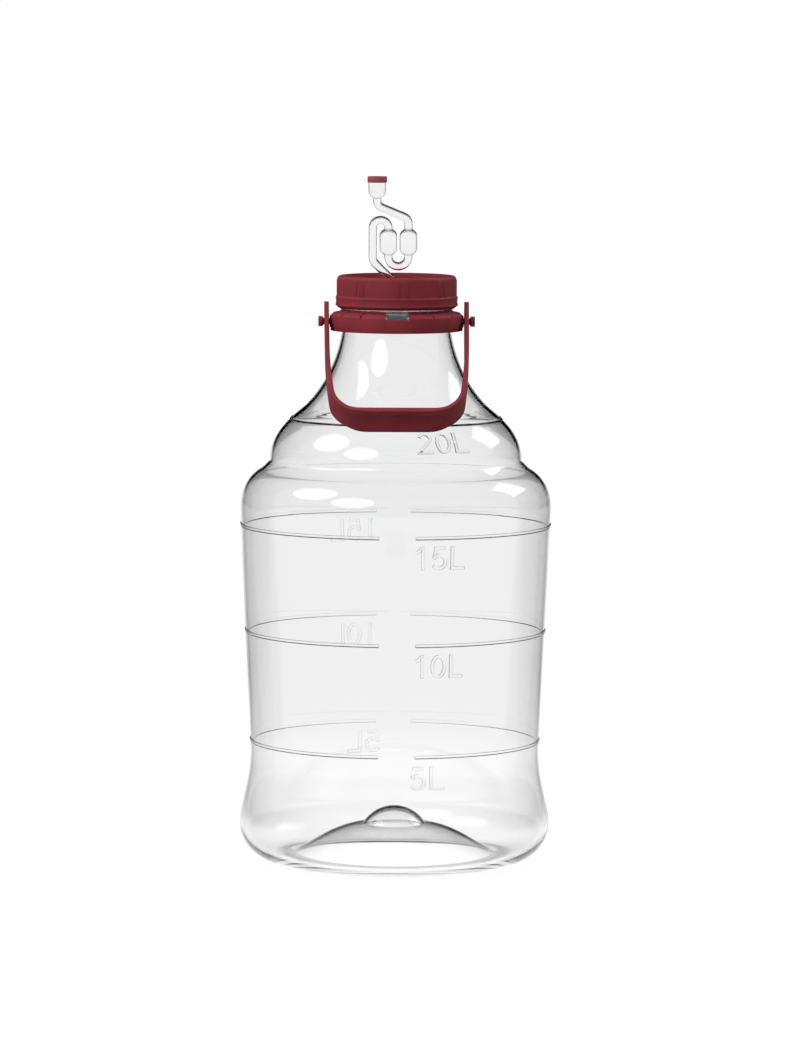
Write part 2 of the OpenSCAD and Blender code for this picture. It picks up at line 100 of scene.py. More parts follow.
def mixColour(tree, factor, first, second):
    node = tree.nodes.new("ShaderNodeMix")
    node.data_type = "RGBA"
    for name, value in (("Factor_Float", factor), ("A_Color", first), ("B_Color", second)):
        socket = next(s for s in node.inputs if s.identifier == name)
        if isinstance(value, Wire):
            tree.links.new(value.socket, socket)
        else:
            socket.default_value = (*value, 1)
    return Wire(tree, next(s for s in node.outputs if s.identifier == "Result_Color"))


def newMaterial(name):
    material = bpy.data.materials.new(name)
    material.use_nodes = True
    material.node_tree.nodes.clear()
    return material, material.node_tree


def noise(tree, place, scale, detail, roughness, stretch=None):
    if stretch:
        place = addNode(tree, "ShaderNodeMapping", None, {"Vector": place, "Scale": stretch}).out()
    return addNode(tree, "ShaderNodeTexNoise", None,
                   {"Vector": place, "Scale": scale, "Detail": detail, "Roughness": roughness}).out("Fac")


def spread(tree, value, low, high, toLow, toHigh):
    return addNode(tree, "ShaderNodeMapRange", {"clamp": True}, {
        "Value": value, "From Min": low, "From Max": high, "To Min": toLow, "To Max": toHigh}).out()


def bumped(tree, strength, depth, height):
    return addNode(tree, "ShaderNodeBump", None,
                   {"Strength": strength, "Distance": depth * mm, "Height": height}).out()


# Detail and roughness of the noises, their shares, and the stretches of their range that count
mixing = {
    "grain": (4, 0.6), "mottle": (3, 0.5), "flow": (2, 0.5), "waves": (2, 0.4), "scuffs": (4, 0.6),
    "mottleShare": 0.6, "grainShare": 0.5, "shadeFrom": 0.35, "shadeTo": 0.65,
    "wearFrom": 0.3, "wearTo": 0.7, "scuffFrom": 0.45, "scuffTo": 0.75,
}


# Coloured moulded plastic: fine grain, faint mottling along its flow and uneven roughness
def mouldedPlastic(name, look):
    m = mixing
    material, tree = newMaterial(name)
    place = addNode(tree, "ShaderNodeTexCoord").out("Object")
    grain = noise(tree, place, look["grainScale"], *m["grain"])
    mottle = noise(tree, place, look["mottleScale"], *m["mottle"])
    flow = noise(tree, place, look["flowScale"], *m["flow"], look["flowStretch"])
    mottled = mottle * m["mottleShare"] + flow * (1 - m["mottleShare"])
    worn = grain * m["grainShare"] + flow * (1 - m["grainShare"])
    shade = spread(tree, mottled, m["shadeFrom"], m["shadeTo"], 0, 1)
    colour = mixColour(tree, shade, look["dark"], look["light"])
    bump = bumped(tree, look["grainStrength"], look["grainDepth"], grain)
    surface = addNode(tree, "ShaderNodeBsdfPrincipled", None, {
        "Base Color": colour,
        "Roughness": spread(tree, worn, m["wearFrom"], m["wearTo"], look["roughLow"], look["roughHigh"]),
        "IOR": look["ior"],
        "Specular IOR Level": look["specular"],
        "Normal": bump}).out()
    addNode(tree, "ShaderNodeOutputMaterial", None, {"Surface": surface})
    return material


# Clear plastic: a faint grey tint, the waviness of blown walls, and lamps shine through it
def clearPlastic(name, look):
    m = mixing
    material, tree = newMaterial(name)
    place = addNode(tree, "ShaderNodeTexCoord").out("Object")
    waves = noise(tree, place, look["waveScale"], *m["waves"], look["waveStretch"])
    scuffs = noise(tree, place, look["scuffScale"], *m["scuffs"])
    height = addNode(tree, "ShaderNodeSeparateXYZ", None, [place]).out("Z")
    tint = mixColour(tree, spread(tree, height, look["tintFrom"] * mm, look["tintTo"] * mm, 0, 1),
                     look["tintLow"], look["tintHigh"])
    bump = bumped(tree, look["waveStrength"], look["waveDepth"], waves)
    glass = addNode(tree, "ShaderNodeBsdfPrincipled", None, {
        "Base Color": tint,
        "Roughness": spread(tree, scuffs, m["scuffFrom"], m["scuffTo"], look["roughLow"], look["roughHigh"]),
        "IOR": look["ior"],
        "Transmission Weight": 1.0,
        "Normal": bump}).out()
    shine = addNode(tree, "ShaderNodeBsdfTransparent", None, {"Color": (*look["shadow"], 1)}).out()
    path = addNode(tree, "ShaderNodeLightPath").out("Is Shadow Ray")
    both = addNode(tree, "ShaderNodeMixShader", None, [path, glass, shine]).out()
    addNode(tree, "ShaderNodeOutputMaterial", None, {"Surface": both})
    return material


bottleLook = {
    "tintLow": (0.995, 0.996, 0.997), "tintHigh": (0.99, 0.991, 0.993), "tintFrom": 20, "tintTo": 110,
    "ior": 1.5, "roughLow": 0.0, "roughHigh": 0.02, "shadow": (0.93, 0.93, 0.935),
    "waveScale": 14, "waveStretch": (1, 1, 0.35), "waveStrength": 0.25, "waveDepth": 0.6, "scuffScale": 60,
}
tubeLook = {
    "tintLow": (0.985, 0.987, 0.99), "tintHigh": (0.985, 0.987, 0.99), "tintFrom": 0, "tintTo": 1,
    "ior": 1.24, "roughLow": 0.0, "roughHigh": 0.04, "shadow": (0.93, 0.93, 0.935),
    "waveScale": 60, "waveStretch": (1, 1, 1), "waveStrength": 0.15, "waveDepth": 0.2, "scuffScale": 300,
}
maroonLook = {
    "dark": (0.185, 0.019, 0.026), "light": (0.24, 0.027, 0.036), "ior": 1.42, "specular": 0.25,
    "roughLow": 0.5, "roughHigh": 0.64, "grainScale": 1400, "grainStrength": 0.25, "grainDepth": 0.05,
    "mottleScale": 45, "flowScale": 9, "flowStretch": (1, 1, 5),
}
capLook = {**maroonLook, "dark": (0.27, 0.065, 0.073), "light": (0.33, 0.088, 0.096), "mottleScale": 120}
foamLook = {
    "dark": (0.68, 0.68, 0.65), "light": (0.80, 0.80, 0.77), "ior": 1.45, "specular": 0.3,
    "roughLow": 0.8, "roughHigh": 0.95, "grainScale": 2200, "grainStrength": 0.6, "grainDepth": 0.2,
    "mottleScale": 200, "flowScale": 30, "flowStretch": (1, 1, 1),
}
rubberLook = {
    "dark": (0.018, 0.018, 0.02), "light": (0.035, 0.035, 0.036), "ior": 1.5, "specular": 0.4,
    "roughLow": 0.55, "roughHigh": 0.7, "grainScale": 1600, "grainStrength": 0.3, "grainDepth": 0.06,
    "mottleScale": 150, "flowScale": 40, "flowStretch": (1, 1, 1),
}
fittingLook = {**bottleLook, "roughLow": 0.35, "roughHigh": 0.5}
# The lugs' dark grey tint is painted shade: the clear lugs only look dark where they are seen through
lugPaintedShadeLook = {**fittingLook, "tintLow": (0.3, 0.32, 0.32), "tintHigh": (0.3, 0.32, 0.32)}
clearBottle = clearPlastic("clearBottle", bottleLook)
clearFitting = clearPlastic("clearFitting", fittingLook)
clearLugPaintedShade = clearPlastic("clearLugPaintedShade", lugPaintedShadeLook)
clearTube = clearPlastic("clearTube", tubeLook)
maroonPlastic = mouldedPlastic("maroonPlastic", maroonLook)
capPlastic = mouldedPlastic("capPlastic", capLook)
gasketFoam = mouldedPlastic("gasketFoam", foamLook)
blackRubber = mouldedPlastic("blackRubber", rubberLook)
print("materials made")


# Points of a curve from a to b: its two handles stand at shares of the way, in each direction
def curvePoints(a, b, startShares, endShares, steps):
    c = [a[k] + startShares[k] * (b[k] - a[k]) for k in (0, 1)]
    d = [a[k] + endShares[k] * (b[k] - a[k]) for k in (0, 1)]
    points = []
    for i in range(steps + 1):
        t = i / steps
        s = 1 - t
        points.append(Vector([s**3 * a[k] + 3 * s * s * t * c[k] + 3 * s * t * t * d[k] + t**3 * b[k]
                              for k in (0, 1)]))
    return points


def arcPoints(centre, radius, start, end, steps):
    angles = [math.radians(start + (end - start) * i / steps) for i in range(steps + 1)]
    return [Vector((centre[0] + radius * math.cos(a), centre[1] + radius * math.sin(a))) for a in angles]


def shareBetween(value, low, high):
    return min(1, max(0, (value - low) / (high - low)))


def withoutRepeats(points, least=0.01):
    kept = [points[0]]
    for p in points[1:]:
        if (p - kept[-1]).length > least:
            kept.append(p)
    return kept


def leftOf(points, i):
    before = points[i] - points[i - 1] if i else points[1] - points[0]
    after = points[i + 1] - points[i] if i < len(points) - 1 else before
    a = Vector((-before.y, before.x)).normalized()
    b = Vector((-after.y, after.x)).normalized()
    mean = (a + b).normalized()
    return mean / mean.dot(a)


def movedLeft(points, thickness):
    return [p + leftOf(points, i) * thickness(p) for i, p in enumerate(points)]


# Corners (x, z, radius) of an outline, each rounded by its radius
def roundedOutline(corners, steps=5):
    points = []
    count = len(corners)
    for i, corner in enumerate(corners):
        here = Vector(corner[:2])
        radius = corner[2] if len(corner) > 2 else 0
        if not radius:
            points.append(here)
            continue
        back = (Vector(corners[i - 1][:2]) - here).normalized()
        on = (Vector(corners[(i + 1) % count][:2]) - here).normalized()
        half = back.angle(on) / 2
        reach = radius / math.tan(half)
        centre = here + (back + on).normalized() * (radius / math.sin(half))
        start = here + back * reach - centre
        end = here + on * reach - centre
        turn = start.angle_signed(end)
        for k in range(steps + 1):
            a = -turn * k / steps
            points.append(centre + Vector((start.x * math.cos(a) - start.y * math.sin(a),
                                           start.x * math.sin(a) + start.y * math.cos(a))))
    return points


def shadeOver(mesh, sharp):
    mesh.shade_smooth()
    mesh.set_sharp_from_angle(angle=math.radians(sharp))


# A mesh becomes a piece of one material, smooth but for its sharp edges
def settledPiece(name, mesh, material, sharp=32):
    mesh.materials.clear()
    mesh.materials.append(material)
    shadeOver(mesh, sharp)
    piece = bpy.data.objects.new(name, mesh)
    scene.collection.objects.link(piece)
    return piece


def finishMesh(name, vertices, faces, material, sharp=32):
    mesh = bpy.data.meshes.new(name)
    mesh.from_pydata(vertices, [], faces)
    tidy = bmesh.new()
    tidy.from_mesh(mesh)
    bmesh.ops.remove_doubles(tidy, verts=tidy.verts, dist=tiny)
    bmesh.ops.recalc_face_normals(tidy, faces=tidy.faces)
    tidy.to_mesh(mesh)
    tidy.free()
    return settledPiece(name, mesh, material, sharp)


# Parts become one piece, which takes their place
def joinedPiece(name, parts, material, sharp=32):
    whole = bmesh.new()
    for part in parts:
        whole.from_mesh(part.data)
        bpy.data.objects.remove(part)
    mesh = bpy.data.meshes.new(name)
    whole.to_mesh(mesh)
    whole.free()
    return settledPiece(name, mesh, material, sharp)


# A vertex at an angle from the front round the axis
def atAngle(angle, radius, height):
    return radius * math.sin(angle) * mm, -radius * math.cos(angle) * mm, height * mm


# Faces between rows of vertices that are closed round, with ends or without
def rowFaces(count, around, base=0, ends=True):
    faces = []
    for row in range(base, base + (count - 1) * around, around):
        for k in range(around):
            on = (k + 1) % around
            faces.append([row + k, row + on, row + around + on, row + around + k])
    if ends:
        last = base + (count - 1) * around
        faces += [list(range(base, base + around)), list(range(last, last + around))]
    return faces


# Rows of (angle, radius, height) round the axis, joined to a closed skin
def turnedPiece(name, outline, columns, material, place=None, sharp=32):
    place = place or (lambda row, angle: (angle, outline[row].x, outline[row].y))
    vertices, faces, rows = [], [], []
    for row, point in enumerate(outline):
        if point.x < tiny:
            rows.append([len(vertices)] * columns)
            vertices.append((0, 0, point.y * mm))
            continue
        rows.append(list(range(len(vertices), len(vertices) + columns)))
        for k in range(columns):
            vertices.append(atAngle(*place(row, 2 * math.pi * k / columns)))
    for row in range(len(outline)):
        low, high = rows[row], rows[(row + 1) % len(outline)]
        for k in range(columns):
            corners = []
            for v in (low[k], low[(k + 1) % columns], high[(k + 1) % columns], high[k]):
                if v not in corners:
                    corners.append(v)
            if len(corners) > 2:
                faces.append(corners)
    return finishMesh(name, vertices, faces, material, sharp)


# The blown bottle, with its real wall, split graduation rings and neck fittings
bottle = {
    "footInR": 88.5, "footR": 94, "footH": 0, "heelR": 135.4, "heelH": 35, "waistR": 125.9, "waistH": 97,
    "shoulderR": 135.6, "shoulderH": 313, "bendR": 118.3, "bendH": 344.4, "creaseR": 110.3, "creaseH": 352.1,
    "bulgeR": 109.9, "bulgeH": 354, "flareR": 86.1, "flareH": 394.2, "neckR": 47.7, "neckH": 466,
    "lipH": 501.6, "lipEdge": 0.6, "domeH": 31, "bossR": 26, "bossRise": 15, "bossSteps": 12,
    "puntCurve": ((0.45, 0.07), (0.74, 0.6), 20), "columns": 240, "sharp": 40,
    "wall": 2.2, "footWall": 4, "neckWall": 2.9, "neckWallFrom": 335, "neckWallTo": 400,
    "ringShares": (0.3425, 0.65, 0.946, 1.2425), "ringClear": 2, "ringGap": 15.7, "ringEnd": 0.0004,
    "beadProfile": ((-1.5, 0), (-1.42, 0.6), (-1.1, 0.95), (-0.4, 1.1), (0.9, 1.15), (1.38, 1.0), (1.5, 0)),
    "backBead": 0.3, "ledgeR": 53, "ledgeTop": 479.3, "ledgeT": 4, "snapR": 48.9, "snapBottom": 484.05,
    "snapH": 1.2, "fitRound": 0.4, "fitSteps": 3, "fitColumns": 120,
    "lugR": 55, "lugW": 17.5, "lugTop": 482.7, "lugRound": 0.6, "lugSteps": 12,
}
# Curves of the side from the foot to the neck: ends, shares of the two handles, steps
sideCurves = (
    ("foot", "heel", (0.64, 0), (1, 0.42), 18), ("heel", "waist", (0, 0.2), (1, 0.6), 14),
    ("waist", "shoulder", (0, 0.05), (1, 0.9), 20), ("shoulder", "bend", (0, 0.5), (0.5, 0.84), 16),
    ("bend", "crease", (0.37, 0.24), (0.75, 0.7), 8), ("bulge", "flare", (0, 0.42), (0.5, 0.756), 18),
    ("flare", "neck", (0.523, 0.213), (0.901, 0.596), 22),
)


def bottleSide():
    b = bottle
    points = []
    for start, end, *handles in sideCurves:
        points += curvePoints((b[start + "R"], b[start + "H"]), (b[end + "R"], b[end + "H"]), *handles)
    return withoutRepeats(points + [Vector((b["neckR"], b["lipH"]))])


def bottlePunt():
    b = bottle
    sphereR = (b["bossR"] ** 2 + b["bossRise"] ** 2) / (2 * b["bossRise"])
    half = math.degrees(math.asin(b["bossR"] / sphereR))
    top = b["domeH"] + b["bossRise"] - sphereR
    return withoutRepeats(arcPoints((0, top), sphereR, 90, 90 - half, b["bossSteps"])
                          + curvePoints((b["bossR"], b["domeH"]), (b["footInR"], 0), *b["puntCurve"]))


def bottleWall(point):
    b = bottle
    foot = max(0, 1 - point.y / b["heelH"]) ** 2
    neck = shareBetween(point.y, b["neckWallFrom"], b["neckWallTo"])
    return b["wall"] + (b["footWall"] - b["wall"]) * foot + (b["neckWall"] - b["wall"]) * neck


sideLine = bottleSide()


# Point and outward direction on the bottle's side at a height, or at a way along the wall from there
def onSide(height, along=0):
    i = next(k for k in range(1, len(sideLine)) if sideLine[k].y >= height)
    share = (height - sideLine[i - 1].y) / (sideLine[i].y - sideLine[i - 1].y)
    point = sideLine[i - 1].lerp(sideLine[i], share)
    step = 1 if along >= 0 else -1
    left = abs(along)
    at = i if step > 0 else i - 1
    while left > (sideLine[at] - point).length:
        left -= (sideLine[at] - point).length
        point = sideLine[at].copy()
        at += step
    direction = (sideLine[at] - point).normalized()
    point = point + direction * left
    direction = direction * step
    return point, Vector((direction.y, -direction.x))


# Rows of the side without its last point: a point, and for a ring's bead its rise and direction
def sideRows():
    b = bottle
    rings = [share * b["shoulderH"] for share in b["ringShares"]]
    rows = [(p, None) for p in sideLine[:-1] if all(abs(p.y - h) > b["ringClear"] for h in rings)]
    for h in rings:
        at = next(k for k, row in enumerate(rows) if row[0].y > h)
        bead = []
        for along, rise in b["beadProfile"]:
            point, out = onSide(h, along)
            bead.append((point, (rise, out)))
        rows[at:at] = bead
    return rows


def makeBottle():
    b = bottle
    inner = movedLeft(bottlePunt() + sideLine, bottleWall)
    inner[0].x = 0
    outR, inR, edge = b["neckR"], b["neckR"] - b["neckWall"], b["lipEdge"]
    lip = [Vector((outR, b["lipH"] - edge)), Vector((outR - edge, b["lipH"])),
           Vector((inR + edge, b["lipH"])), Vector((inR, b["lipH"] - edge))]
    rows = [(p, None) for p in bottlePunt()] + sideRows() + [(p, None) for p in lip + inner[-2::-1]]

    # A bead stops short at the front and the back, with square ends
    def place(row, angle):
        point, bead = rows[row]
        if bead is None:
            return angle, point.x, point.y
        rise, out = bead
        gap = math.asin(b["ringGap"] / point.x)
        step = 2 * math.pi / b["columns"]
        off = (angle + math.pi / 2) % math.pi - math.pi / 2
        side = 1 if off > 0 else -1
        if abs(off) <= gap:
            if abs(off) + step > gap:
                angle += side * (gap - b["ringEnd"] - abs(off))
            return angle, point.x, point.y
        if abs(off) - step <= gap:
            angle += side * (gap + b["ringEnd"] - abs(off))
        rise *= b["backBead"] + (1 - b["backBead"]) * (1 + math.cos(angle)) / 2
        return angle, point.x + out.x * rise, point.y + out.y * rise

    outline = [point for point, bead in rows]
    return turnedPiece("bottleShell", outline, b["columns"], clearBottle, place, b["sharp"])


def makeNeckRing(name, outR, bottom, top):
    b = bottle
    inR = b["neckR"] - b["neckWall"] / 2
    corners = [(inR, bottom), (outR, bottom, b["fitRound"]), (outR, top, b["fitRound"]), (inR, top)]
    return turnedPiece(name, roundedOutline(corners, b["fitSteps"]), b["fitColumns"], clearBottle)


# Raised numerals beside the rings: word, top, start and width. Those at the back show through mirrored
numerals = {
    "words": (("5L", 98.9, 12.0, 29.6), ("10L", 195.6, 15.4, 42.6), ("15L", 289.0, 15.4, 43.6),
              ("20L", 383.0, 16.2, 46.5)),
    "frontCount": 4, "backCount": 3, "front": 1.0, "back": 0.45,
    "capH": 20, "advance": 15.5, "stroke": 2.6, "sunk": 0.4, "round": 0.12, "step": 1.5,
}
# Centre lines of the strokes of each letter
glyphs = {
    "0": [[Vector((7.75 + 5.4 * p.x, 10 + 8.7 * p.y)) for p in arcPoints((0, 0), 1, 0, 360, 36)]],
    "1": [[Vector((9.1, 0)), Vector((9.1, 20))],
          [Vector((3.7, 14.6)), Vector((6.6, 16.4)), Vector((8.4, 19.4))]],
    "2": [arcPoints((7.5, 14.1), 4.6, 165, -35, 16)
          + [Vector((8.6, 8.3)), Vector((4.7, 4.6)), Vector((2.6, 1.3)), Vector((13.4, 1.3))]],
    "5": [[Vector((12.2, 18.7)), Vector((4.6, 18.7)), Vector((3.2, 9.3))],
          arcPoints((7.3, 6.9), 5.6, 148, -148, 22)],
    "L": [[Vector((3.3, 20)), Vector((3.3, 1.3)), Vector((14.3, 1.3))]],
}


def evenly(line, step):
    points = [line[0]]
    for a, b in zip(line, line[1:]):
        count = max(1, round((b - a).length / step))
        points += [a.lerp(b, k / count) for k in range(1, count + 1)]
    return points


# A ridge along a line: rows of (across, out) are its section
def ridgeRows(line, proud):
    n = numerals
    half = n["stroke"] / 2
    section = ((-half, -n["sunk"]), (-half, proud - n["round"]), (n["round"] - half, proud),
               (half - n["round"], proud), (half, proud - n["round"]), (half, -n["sunk"]))
    points = evenly(line, n["step"])
    loop = (points[0] - points[-1]).length < tiny
    rows = []
    for i, p in enumerate(points):
        side = leftOf([points[-2]] + points + [points[1]], i + 1) if loop else leftOf(points, i)
        rows.append([(p.x + side.x * across, p.y + side.y * across, out) for across, out in section])
    return rows, loop


def makeNumeral(word, top, start, width, turn, proud):
    n = numerals
    middleR = onSide(top, -n["capH"] / 2)[0].x
    first = math.asin(start / middleR)
    strokes = []
    for place, letter in enumerate(word):
        for line in glyphs[letter]:
            strokes.append(ridgeRows([p + Vector((place * n["advance"], 0)) for p in line], proud))
    xs = [corner[0] for rows, loop in strokes for row in rows for corner in row]
    low, high = min(xs), max(xs)
    vertices, faces = [], []
    for rows, loop in strokes:
        base = len(vertices)
        deep = len(rows[0])
        for row in rows:
            for x, y, rise in row:
                point, out = onSide(top, y - n["capH"])
                point = point + out * rise
                angle = first + (x - low) / (high - low) * width / middleR + turn
                vertices.append(atAngle(angle, point.x, point.y))
        faces += rowFaces(len(rows), deep, base, not loop)
    return finishMesh("numeral" + word, vertices, faces, clearBottle)


# A modifier's result becomes the piece's own mesh
def applied(piece):
    done = bpy.data.meshes.new_from_object(piece.evaluated_get(bpy.context.evaluated_depsgraph_get()))
    piece.modifiers.clear()
    piece.data = done
    return piece


def bevelled(piece, width, segments=3, limit=40):
    modifier = piece.modifiers.new("edges", "BEVEL")
    modifier.width = width * mm
    modifier.segments = segments
    modifier.limit_method = "ANGLE"
    modifier.angle_limit = math.radians(limit)
    return applied(piece)


# A bar with rounded edges, bent round the axis: it lies at the front and is then turned in degrees
def bentBar(name, across, radii, heights, steps, edge, turn, material):
    inR, outR = radii
    low, high = heights
    corners = [(inR, low), (inR, high), (outR, high), (outR, low)]
    vertices = []
    for i in range(steps + 1):
        x = across[0] + (across[1] - across[0]) * i / steps
        vertices += [(x * mm, -math.sqrt(r * r - x * x) * mm, height * mm) for r, height in corners]
    piece = bevelled(finishMesh(name, vertices, rowFaces(steps + 1, len(corners)), material), edge)
    piece.data.transform(Matrix.Rotation(math.radians(turn), 4, "Z"))
    return piece


# Node trees for what repeats or follows a path
socketKinds = {float: "NodeSocketFloat", int: "NodeSocketInt"}
treeSharp = 40


def newTree(name, sizes):
    tree = bpy.data.node_groups.new(name, "GeometryNodeTree")
    tree.interface.new_socket("Geometry", in_out="INPUT", socket_type="NodeSocketGeometry")
    tree.interface.new_socket("Material", in_out="INPUT", socket_type="NodeSocketMaterial")
    for label, value in sizes.items():
        tree.interface.new_socket(label, in_out="INPUT", socket_type=socketKinds[type(value)])
    tree.interface.new_socket("Geometry", in_out="OUTPUT", socket_type="NodeSocketGeometry")
    return tree, addNode(tree, "NodeGroupInput")


def endTree(tree, given, geometry):
    whole = addNode(tree, "GeometryNodeRealizeInstances", None, {"Geometry": geometry}).out()
    dressed = addNode(tree, "GeometryNodeSetMaterial", None,
                      {"Geometry": whole, "Material": given.out("Material")}).out()
    addNode(tree, "NodeGroupOutput", None, {"Geometry": dressed})


def runTree(name, tree, sizes, material, base=None):
    base = base or bpy.data.objects.new(name, bpy.data.meshes.new(name))
    if base.name not in scene.collection.objects:
        scene.collection.objects.link(base)
    modifier = base.modifiers.new(name, "NODES")
    modifier.node_group = tree
    named = {item.name: item.identifier for item in tree.interface.items_tree if item.in_out == "INPUT"}
    modifier[named["Material"]] = material
    for label, value in sizes.items():
        modifier[named[label]] = value
    mesh = bpy.data.meshes.new_from_object(base.evaluated_get(bpy.context.evaluated_depsgraph_get()))
    bpy.data.objects.remove(base)
    mesh.name = name
    return settledPiece(name, mesh, material, treeSharp)


# Copies of a piece turned round the axis
def turnedCopies(name, piece, count, material):
    sizes = {"Count": count}
    tree, given = newTree(name, sizes)
    points = addNode(tree, "GeometryNodePoints", None, {"Count": given.out("Count")}).out()
    index = addNode(tree, "GeometryNodeInputIndex").out()
    angle = index * (2 * math.pi) / given.out("Count")
    turn = addNode(tree, "ShaderNodeCombineXYZ", None, {"Z": angle}).out()
    copies = addNode(tree, "GeometryNodeInstanceOnPoints", None,
                     {"Points": points, "Instance": given.out("Geometry"), "Rotation": turn}).out()
    endTree(tree, given, copies)
    return runTree(name, tree, sizes, material, piece)


threads = {
    "neck": {"Radius": 0.0479, "Pitch": 0.006, "Turns": 1.8, "Start": 0.4885, "Thickness": 0.0014},
    "lid": {"Radius": 0.0495, "Pitch": 0.006, "Turns": 1.8, "Start": 0.4915, "Thickness": 0.0013},
}
threadSteps = {"turn": 64, "section": 12}


# A round thread along a right-handed helix, which the reversed spiral gives
def makeThread(name, sizes, material):
    tree, given = newTree(name, sizes)
    radius, rotations = given.out("Radius"), given.out("Turns")
    turns = addNode(tree, "GeometryNodeCurveSpiral", None, {
        "Resolution": threadSteps["turn"], "Rotations": rotations, "Start Radius": radius,
        "End Radius": radius, "Height": rotations * given.out("Pitch"), "Reverse": True}).out()
    place = addNode(tree, "ShaderNodeCombineXYZ", None, {"Z": given.out("Start")}).out()
    lifted = addNode(tree, "GeometryNodeTransform", None, {"Geometry": turns, "Translation": place}).out()
    ring = addNode(tree, "GeometryNodeCurvePrimitiveCircle", None,
                   {"Resolution": threadSteps["section"], "Radius": given.out("Thickness")}).out()
    thread = addNode(tree, "GeometryNodeCurveToMesh", None,
                     {"Curve": lifted, "Profile Curve": ring, "Fill Caps": True}).out()
    endTree(tree, given, thread)
    return runTree(name, tree, sizes, material)


# The ledge, the ring that the collar snaps over, and the thread
def makeFittings():
    b = bottle
    parts = [makeNeckRing("ledge", b["ledgeR"], b["ledgeTop"] - b["ledgeT"], b["ledgeTop"]),
             makeNeckRing("snap", b["snapR"], b["snapBottom"], b["snapBottom"] + b["snapH"]),
             makeThread("neckThread", threads["neck"], clearBottle)]
    return joinedPiece("neckFittings", parts, clearFitting)


# Lugs stand on the ledge in the collar's windows; their clear plastic is tinted dark grey as painted shade
def makeLugs():
    b = bottle
    across = (-b["lugW"] / 2, b["lugW"] / 2)
    radii = (b["neckR"] - b["neckWall"] / 2, b["lugR"])
    heights = (b["ledgeTop"] - b["ledgeT"] / 2, b["lugTop"])
    parts = [bentBar("lug", across, radii, heights, b["lugSteps"], b["lugRound"], turn, clearBottle)
             for turn in (0, 180)]
    return joinedPiece("neckLugs", parts, clearLugPaintedShade)


def makeNumerals():
    n = numerals
    words = [makeNumeral(*word, turn, n[side]) for side, turn in (("front", 0), ("back", math.pi))
             for word in n["words"][:n[side + "Count"]]]
    return joinedPiece("bottleNumerals", words, clearBottle)


bottleShell = makeBottle()
neckFittings = makeFittings()
neckLugs = makeLugs()
bottleNumerals = makeNumerals()
for piece in (bottleShell, neckFittings, neckLugs, bottleNumerals):
    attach(piece, "bottle")
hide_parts("bottle")
print("bottle made")

# The lid: a turned shell with rounded edges, a thread inside and grip ribs round its side
lid = {
    "holeR": 8, "floor": 496.6, "wellBottomR": 36, "wellR": 38, "panelTop": 505.6, "rimInR": 48,
    "top": 513.6, "rimRound": 3.3, "r": 51.9, "bandR": 53.4, "bandTop": 494.9, "bandBottom": 487.9,
    "bandSlope": 1.5, "bandEdge": 2.1, "groove": 0.5, "bottom": 485.4, "skirtR": 49.6, "skirtT": 0.8,
    "t": 2, "edge": 0.4, "cornerSteps": 4, "columns": 240, "ribs": 8, "ribW": 4.8, "ribGap": 3.2,
    "ribProud": 0.45, "ribSunk": 1, "ribTop": 510.2, "ribUnder": 0.5, "ribTurn": 94.2, "ribSteps": 6,
}


def makeLid():
    a = lid
    e = a["edge"]
    grooveR = a["bandR"] - a["groove"]
    corners = [
        (a["holeR"], a["floor"], e), (a["wellBottomR"], a["floor"], 2 * e),
        (a["wellR"], a["panelTop"], 2 * e), (a["rimInR"], a["panelTop"], 2 * e),
        (a["rimInR"], a["top"], 1.5 * e), (a["r"], a["top"], a["rimRound"]),
        (a["r"], a["bandTop"] + a["bandSlope"], e), (a["bandR"], a["bandTop"], 2 * e),
        (grooveR, a["bandTop"] - a["bandEdge"], e), (grooveR, a["bandBottom"] + a["bandEdge"], e),
        (a["bandR"], a["bandBottom"], e), (a["skirtR"] + a["skirtT"], a["bottom"], e),
        (a["skirtR"], a["bottom"], 0.5 * e), (a["skirtR"], a["panelTop"] - a["t"], e),
        (a["wellR"] + a["t"], a["panelTop"] - a["t"], e),
        (a["wellBottomR"] + a["t"], a["floor"] - a["t"], 2 * e), (a["holeR"], a["floor"] - a["t"], e)]
    shell = turnedPiece("lidShell", roundedOutline(corners, a["cornerSteps"]), a["columns"], maroonPlastic)
    thread = makeThread("lidThread", threads["lid"], maroonPlastic)
    return joinedPiece("lidBody", [shell, thread], maroonPlastic)


# Ribs stand in pairs with a gap between the two
def makeRibs():
    a = lid
    radii = (a["r"] - a["ribSunk"], a["r"] + a["ribProud"])
    heights = (a["bandTop"] - a["ribUnder"], a["ribTop"])
    pair = []
    for side in (-1, 1):
        across = (side * a["ribGap"] / 2, side * (a["ribGap"] / 2 + a["ribW"]))
        pair.append(bentBar("rib", across, radii, heights, a["ribSteps"], a["ribProud"], a["ribTurn"],
                            maroonPlastic))
    ribPair = joinedPiece("ribPair", pair, maroonPlastic)
    return turnedCopies("lidRibs", ribPair, a["ribs"], maroonPlastic)


lidBody = makeLid()
lidRibs = makeRibs()
for piece in (lidBody, lidRibs):
    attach(piece, "lid")
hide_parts("lid")
print("lid made")

# The airlock: one tube along its way, which swells to two chambers and a cup
airlock = {
    "r": 3.65, "wall": 0.5, "stemL": 30, "bottom": 471.8, "slant": 45, "uprightX": 21.1, "slantBendR": 8,
    "uprightL": 25.4, "upperBendR": 6.8, "lowerBendR": 8.7, "lead": 1.1, "chamberR": 7.8, "chamberH": 22.6,
    "endH": 6.4, "sBendR": 6.4, "sTurn": 68, "sLead": 3.9, "sMiddle": 20.8, "sTail": 1.9,
    "cupR": 7.8, "cupFootH": 7.5, "cupH": 6.9, "rimH": 3.8, "step": 0.3, "stepH": 0.2,
    "swellCurve": ((0.5, 0.16), (1, 0.5), 10), "bendStep": 5, "bendLeast": 4, "straightSteps": 8,
    "least": 0.02, "around": 48,
}


